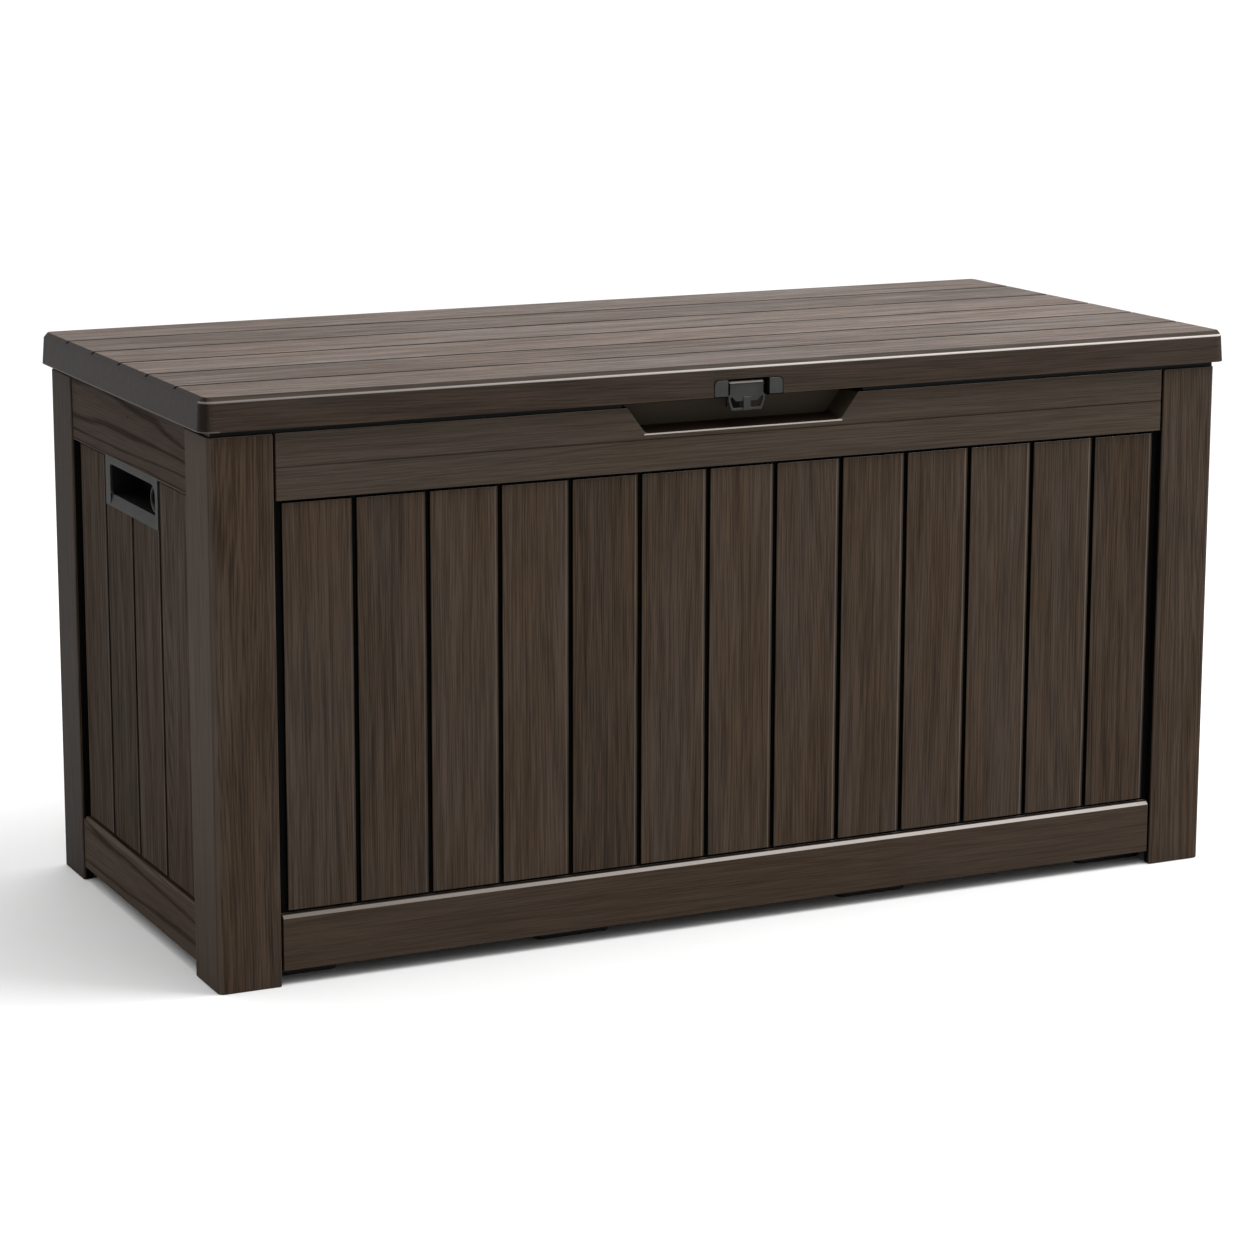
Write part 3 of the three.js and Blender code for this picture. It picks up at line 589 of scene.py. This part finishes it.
def look_for(node):
    if node in ("front_panel", "back_panel"):
        return "long"
    if node in ("left_panel", "right_panel"):
        return "short"
    if node.startswith("post_"):
        return "post"
    if node == "lid":
        return "lid"
    if node.startswith(("base_", "foot_")):
        return "base"
    if node == "latch_pin":
        return "blackened"
    if "pin" in node or "screw" in node:
        return "steel"
    if node.startswith("hinge_"):
        return "hinge"
    if node.startswith("handle_"):
        return "handle"
    # The keeper takes the near-black base look as painted shade, so that it reads as the shade in the grip
    # beside the hasp.
    return {"latch_plate": "latch", "latch_hasp": "hasp", "latch_keeper": "base"}[node]


def soften(piece, width, crowded):
    """Rounds a solid's sharp edges; on a crowded solid the rounding stays as narrow as its corners need."""
    joined = piece.modifiers.new("join", "WELD")
    joined.merge_threshold = WELD_CROWDED if crowded else WELD
    flatten = piece.modifiers.new("flatten", "DECIMATE")
    flatten.decimate_type = "DISSOLVE"
    flatten.angle_limit = math.radians(0.5)
    bevel = piece.modifiers.new("round", "BEVEL")
    bevel.width = width
    bevel.segments = 3
    bevel.limit_method = "ANGLE"
    bevel.angle_limit = math.radians(35)
    bevel.use_clamp_overlap = crowded
    even = piece.modifiers.new("even", "WEIGHTED_NORMAL")
    even.keep_sharp = False
    for polygon in piece.data.polygons:
        polygon.use_smooth = True


for node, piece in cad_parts.items():
    look = look_for(node)
    piece.data.materials.clear()
    piece.data.materials.append(LOOKS[look])
    crowded = look in CROWDED or node == "back_panel"
    soften(piece, ROUNDING.get(look, ROUNDING_ELSEWHERE), crowded)


# ---- floor, light and camera ----
def place_in_scene(name, data):
    thing = bpy.data.objects.new(name, data)
    bpy.context.scene.collection.objects.link(thing)
    return thing


def build_floor():
    shader = Shader("floor")
    speck = shader.noise(shader.place, (6.0, 6.0, 6.0), detail=3.0)
    shader.feed(shader.surface.inputs["Base Color"], shader.blend(speck, *FLOOR_TONES))
    shader.surface.inputs["Roughness"].default_value = 0.9
    shader.surface.inputs["Specular IOR Level"].default_value = 0.1
    mesh = bpy.data.meshes.new("floor")
    corners = [(x * FLOOR_HALF, y * FLOOR_HALF, 0) for x, y in ((-1, -1), (1, -1), (1, 1), (-1, 1))]
    mesh.from_pydata(corners, [], [(0, 1, 2, 3)])
    mesh.materials.append(shader.material)
    place_in_scene("floor", mesh)


def build_key_light():
    light = bpy.data.lights.new("key", "AREA")
    light.shape = "RECTANGLE"
    light.size, light.size_y = KEY_SIZE
    light.energy = KEY_POWER
    key = place_in_scene("key", light)
    key.location = KEY_AT
    key.rotation_euler = (Vector(KEY_TARGET) - Vector(KEY_AT)).to_track_quat("-Z", "Y").to_euler()


def world_light(nodes, links):
    """The studio's light by direction: an even level, with more of it towards some axes."""
    around = nodes.new("ShaderNodeTexCoord")
    split = nodes.new("ShaderNodeSeparateXYZ")
    links.new(around.outputs["Generated"], split.inputs[0])
    level = None
    for axis, low, high, gain in WORLD_FADES:
        fade = nodes.new("ShaderNodeMapRange")
        fade.interpolation_type = "SMOOTHSTEP"
        links.new(split.outputs[axis], fade.inputs["Value"])
        fade.inputs["From Min"].default_value = low
        fade.inputs["From Max"].default_value = high
        fade.inputs["To Max"].default_value = gain
        total = nodes.new("ShaderNodeMath")
        links.new(fade.outputs[0], total.inputs[0])
        if level is None:
            total.inputs[1].default_value = WORLD_LEVEL
        else:
            links.new(level, total.inputs[1])
        level = total.outputs[0]
    return level


def build_world():
    """A white backdrop that lights the object more from some sides than from others."""
    world = bpy.data.worlds.new("studio")
    bpy.context.scene.world = world
    world.use_nodes = True
    nodes = world.node_tree.nodes
    links = world.node_tree.links
    backdrop = nodes["Background"]
    backdrop.inputs["Color"].default_value = (1.0, 1.0, 1.0, 1.0)
    paths = nodes.new("ShaderNodeLightPath")
    choice = nodes.new("ShaderNodeMix")
    links.new(paths.outputs["Is Camera Ray"], choice.inputs[0])
    links.new(world_light(nodes, links), choice.inputs[2])
    choice.inputs[3].default_value = 1.0
    links.new(choice.outputs[0], backdrop.inputs["Strength"])


def build_camera():
    lens = bpy.data.cameras.new("camera")
    lens.lens = CAMERA_LENS
    lens.sensor_width = CAMERA_SENSOR
    lens.shift_y = CAMERA_SHIFT
    lens.clip_end = CAMERA_REACH
    camera = place_in_scene("camera", lens)
    turn = Matrix.Rotation(CAMERA_TURN, 4, "Z") @ Matrix.Rotation(math.pi / 2 - CAMERA_TILT, 4, "X")
    camera.matrix_world = Matrix.Translation(CAMERA_AT) @ turn @ Matrix.Rotation(CAMERA_ROLL, 4, "Z")
    bpy.context.scene.camera = camera


build_floor()
build_world()
build_key_light()
build_camera()
bpy.context.scene.view_settings.view_transform = "Standard"
